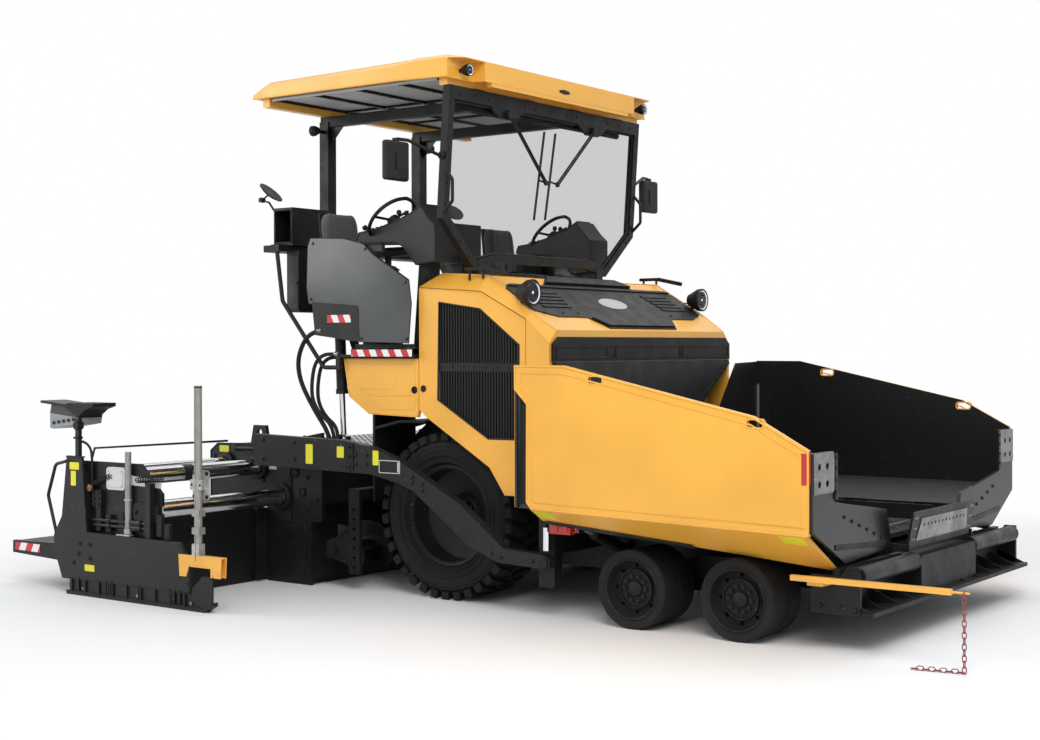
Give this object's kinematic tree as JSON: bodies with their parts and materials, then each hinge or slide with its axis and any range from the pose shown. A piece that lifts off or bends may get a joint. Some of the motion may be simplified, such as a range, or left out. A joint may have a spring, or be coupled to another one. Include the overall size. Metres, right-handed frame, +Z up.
{
  "type": "asphalt paver",
  "caption": "Wheeled asphalt paver with folding hopper wings, steered bogie wheels, canopied platform, augers and a towed screed with sliding extensions.",
  "frame": {"origin": "on the ground, halfway along and across the whole machine", "axes": "+X forward to the hopper, +Y to the machine's left, +Z up"},
  "size_m": [7.09, 5.028, 3.815],
  "materials": {
    "yellow_paint": "satin",
    "black_paint": "satin",
    "dark_steel": "satin",
    "worn_steel": "brushed",
    "chrome_rod": "polished",
    "tyre_rubber": "matte",
    "solid_rubber": "matte",
    "glass": "clear",
    "seat_fabric": "woven",
    "grey_plastic": "matte",
    "engine_iron": "cast",
    "red_paint": "satin"
  },
  "bodies": {
    "tractor": {"chassis": "black_paint", "engine": "engine_iron", "bodywork": "yellow_paint", "hood_trim": "black_paint", "platform": "black_paint", "canopy_frame": "black_paint", "windscreen": "glass", "canopy_roof": "yellow_paint", "roof_liner": "grey_plastic", "work_lamps": "black_paint", "wipers": "black_paint", "mirrors": "black_paint", "bogie_beams": "black_paint", "hopper_bed": "dark_steel", "conveyor": "worn_steel", "push_beam": "black_paint", "guide_bar": "yellow_paint", "guide_chain": "red_paint"},
    "apron": {"apron": "dark_steel"},
    "screed": {"screed": "black_paint", "tow_arms": "black_paint"},
    "drive_wheel_right": {"drive_tyre_right": "tyre_rubber", "drive_rim_right": "black_paint"},
    "knuckle_1_right": {"knuckle_1_right": "black_paint"},
    "bogie_wheel_1_right": {"bogie_wheel_1_right": "solid_rubber"},
    "knuckle_2_right": {"knuckle_2_right": "black_paint"},
    "bogie_wheel_2_right": {"bogie_wheel_2_right": "solid_rubber"},
    "hopper_wing_right": {"hopper_wing_right": "yellow_paint"},
    "wing_barrel_right": {"wing_barrel_right": "black_paint"},
    "wing_rod_right": {"wing_rod_right": "chrome_rod"},
    "push_roller_right": {"push_roller_right": "dark_steel"},
    "side_door_right": {"side_door_right": "yellow_paint", "door_grille_right": "black_paint"},
    "station_right": {"station_right": "grey_plastic", "seat_right": "seat_fabric"},
    "extension_right": {"extension_right": "black_paint", "end_gate_right": "black_paint"},
    "auger_right": {"auger_right": "dark_steel"},
    "lift_barrel_right": {"lift_barrel_right": "black_paint"},
    "lift_rod_right": {"lift_rod_right": "chrome_rod"},
    "drive_wheel_left": {"drive_tyre_left": "tyre_rubber", "drive_rim_left": "black_paint"},
    "knuckle_1_left": {"knuckle_1_left": "black_paint"},
    "bogie_wheel_1_left": {"bogie_wheel_1_left": "solid_rubber"},
    "knuckle_2_left": {"knuckle_2_left": "black_paint"},
    "bogie_wheel_2_left": {"bogie_wheel_2_left": "solid_rubber"},
    "hopper_wing_left": {"hopper_wing_left": "yellow_paint"},
    "wing_barrel_left": {"wing_barrel_left": "black_paint"},
    "wing_rod_left": {"wing_rod_left": "chrome_rod"},
    "push_roller_left": {"push_roller_left": "dark_steel"},
    "side_door_left": {"side_door_left": "yellow_paint", "door_grille_left": "black_paint"},
    "station_left": {"station_left": "grey_plastic", "seat_left": "seat_fabric"},
    "extension_left": {"extension_left": "black_paint", "end_gate_left": "black_paint"},
    "auger_left": {"auger_left": "dark_steel"},
    "lift_barrel_left": {"lift_barrel_left": "black_paint"},
    "lift_rod_left": {"lift_rod_left": "chrome_rod"}
  },
  "joints": [
    {"name": "screed_lift", "type": "hinge", "parent": "tractor", "child": "screed", "pos_m": [0.682, 0, 0.376], "axis": [0, 1, 0], "range_deg": [0, 8]},
    {"name": "apron_tilt", "type": "hinge", "parent": "tractor", "child": "apron", "pos_m": [2.77, 0, 0.522], "axis": [0, -1, 0], "range_deg": [0, 55]},
    {"name": "drive_wheel_spin_right", "type": "hinge", "parent": "tractor", "child": "drive_wheel_right", "pos_m": [-0.385, -0.957, 0.585], "axis": [0, 1, 0], "continuous": true},
    {"name": "steer_1_right", "type": "hinge", "parent": "tractor", "child": "knuckle_1_right", "pos_m": [1.314, -0.93, 0.25], "axis": [0, 0, 1], "range_deg": [-12.6, 12.6]},
    {"name": "bogie_spin_1_right", "type": "hinge", "parent": "knuckle_1_right", "child": "bogie_wheel_1_right", "pos_m": [1.314, -1.214, 0.25], "axis": [0, 1, 0], "continuous": true},
    {"name": "steer_2_right", "type": "hinge", "parent": "tractor", "child": "knuckle_2_right", "pos_m": [2.063, -0.93, 0.25], "axis": [0, 0, 1], "range_deg": [-18, 18]},
    {"name": "bogie_spin_2_right", "type": "hinge", "parent": "knuckle_2_right", "child": "bogie_wheel_2_right", "pos_m": [2.063, -1.214, 0.25], "axis": [0, 1, 0], "continuous": true},
    {"name": "wing_fold_right", "type": "hinge", "parent": "tractor", "child": "hopper_wing_right", "pos_m": [1.515, -0.55, 0.66], "axis": [-1, 0, 0], "range_deg": [0, 45]},
    {"name": "wing_barrel_swing_right", "type": "hinge", "parent": "tractor", "child": "wing_barrel_right", "pos_m": [0.855, -0.76, 0.4], "axis": [-1, 0, 0], "range_deg": [0, 44]},
    {"name": "wing_rod_slide_right", "type": "slide", "parent": "wing_barrel_right", "child": "wing_rod_right", "axis": [0, -0.932, 0.3624], "range_m": [0, 0.26]},
    {"name": "push_roller_spin_right", "type": "hinge", "parent": "tractor", "child": "push_roller_right", "pos_m": [2.795, -0.878, 0.44], "axis": [0, 1, 0], "continuous": true},
    {"name": "side_door_right", "type": "hinge", "parent": "tractor", "child": "side_door_right", "pos_m": [0.36, -1.215, 1.4], "axis": [0, 0, 1], "range_deg": [0, 75]},
    {"name": "station_slide_right", "type": "slide", "parent": "tractor", "child": "station_right", "axis": [0, -1, 0], "range_m": [0, 0.25]},
    {"name": "extension_slide_right", "type": "slide", "parent": "screed", "child": "extension_right", "axis": [0, 1, 0], "range_m": [0, 1.15]},
    {"name": "auger_spin_right", "type": "hinge", "parent": "tractor", "child": "auger_right", "pos_m": [-1.385, -0.6, 0.29], "axis": [0, 1, 0], "continuous": true},
    {"name": "lift_barrel_swing_right", "type": "hinge", "parent": "tractor", "child": "lift_barrel_right", "pos_m": [-1.425, -1.13, 2.105], "axis": [0, -1, 0], "range_deg": [0, 10]},
    {"name": "lift_rod_slide_right", "type": "slide", "parent": "lift_barrel_right", "child": "lift_rod_right", "axis": [-0.0436, 0, 0.999], "range_m": [0, 0.27]},
    {"name": "drive_wheel_spin_left", "type": "hinge", "parent": "tractor", "child": "drive_wheel_left", "pos_m": [-0.385, 0.957, 0.585], "axis": [0, 1, 0], "continuous": true},
    {"name": "steer_1_left", "type": "hinge", "parent": "tractor", "child": "knuckle_1_left", "pos_m": [1.314, 0.93, 0.25], "axis": [0, 0, 1], "range_deg": [-12.6, 12.6]},
    {"name": "bogie_spin_1_left", "type": "hinge", "parent": "knuckle_1_left", "child": "bogie_wheel_1_left", "pos_m": [1.314, 1.214, 0.25], "axis": [0, 1, 0], "continuous": true},
    {"name": "steer_2_left", "type": "hinge", "parent": "tractor", "child": "knuckle_2_left", "pos_m": [2.063, 0.93, 0.25], "axis": [0, 0, 1], "range_deg": [-18, 18]},
    {"name": "bogie_spin_2_left", "type": "hinge", "parent": "knuckle_2_left", "child": "bogie_wheel_2_left", "pos_m": [2.063, 1.214, 0.25], "axis": [0, 1, 0], "continuous": true},
    {"name": "wing_fold_left", "type": "hinge", "parent": "tractor", "child": "hopper_wing_left", "pos_m": [1.515, 0.55, 0.66], "axis": [1, 0, 0], "range_deg": [0, 45]},
    {"name": "wing_barrel_swing_left", "type": "hinge", "parent": "tractor", "child": "wing_barrel_left", "pos_m": [0.855, 0.76, 0.4], "axis": [1, 0, 0], "range_deg": [0, 44]},
    {"name": "wing_rod_slide_left", "type": "slide", "parent": "wing_barrel_left", "child": "wing_rod_left", "axis": [0, 0.932, 0.3624], "range_m": [0, 0.26]},
    {"name": "push_roller_spin_left", "type": "hinge", "parent": "tractor", "child": "push_roller_left", "pos_m": [2.795, 0.878, 0.44], "axis": [0, 1, 0], "continuous": true},
    {"name": "side_door_left", "type": "hinge", "parent": "tractor", "child": "side_door_left", "pos_m": [0.36, 1.215, 1.4], "axis": [0, 0, -1], "range_deg": [0, 75]},
    {"name": "station_slide_left", "type": "slide", "parent": "tractor", "child": "station_left", "axis": [0, 1, 0], "range_m": [0, 0.25]},
    {"name": "extension_slide_left", "type": "slide", "parent": "screed", "child": "extension_left", "axis": [0, -1, 0], "range_m": [0, 1.15]},
    {"name": "auger_spin_left", "type": "hinge", "parent": "tractor", "child": "auger_left", "pos_m": [-1.385, 0.6, 0.29], "axis": [0, 1, 0], "continuous": true},
    {"name": "lift_barrel_swing_left", "type": "hinge", "parent": "tractor", "child": "lift_barrel_left", "pos_m": [-1.425, 1.13, 2.105], "axis": [0, -1, 0], "range_deg": [0, 10]},
    {"name": "lift_rod_slide_left", "type": "slide", "parent": "lift_barrel_left", "child": "lift_rod_left", "axis": [-0.0436, 0, 0.999], "range_m": [0, 0.27]}
  ],
  "couplings": [
    {"joint": "steer_1_right", "follows": "steer_2_right", "ratio": 0.7},
    {"joint": "wing_barrel_swing_right", "follows": "wing_fold_right", "ratio": 0.967},
    {"joint": "wing_rod_slide_right", "follows": "wing_fold_right", "m_per_rad": 0.325},
    {"joint": "lift_barrel_swing_right", "follows": "screed_lift", "ratio": 1.2138},
    {"joint": "lift_rod_slide_right", "follows": "screed_lift", "m_per_rad": 1.889},
    {"joint": "steer_1_left", "follows": "steer_2_right", "ratio": 0.7},
    {"joint": "steer_2_left", "follows": "steer_2_right", "ratio": 1},
    {"joint": "wing_barrel_swing_left", "follows": "wing_fold_left", "ratio": 0.967},
    {"joint": "wing_rod_slide_left", "follows": "wing_fold_left", "m_per_rad": 0.325},
    {"joint": "lift_barrel_swing_left", "follows": "screed_lift", "ratio": 1.2138},
    {"joint": "lift_rod_slide_left", "follows": "screed_lift", "m_per_rad": 1.889}
  ]
}
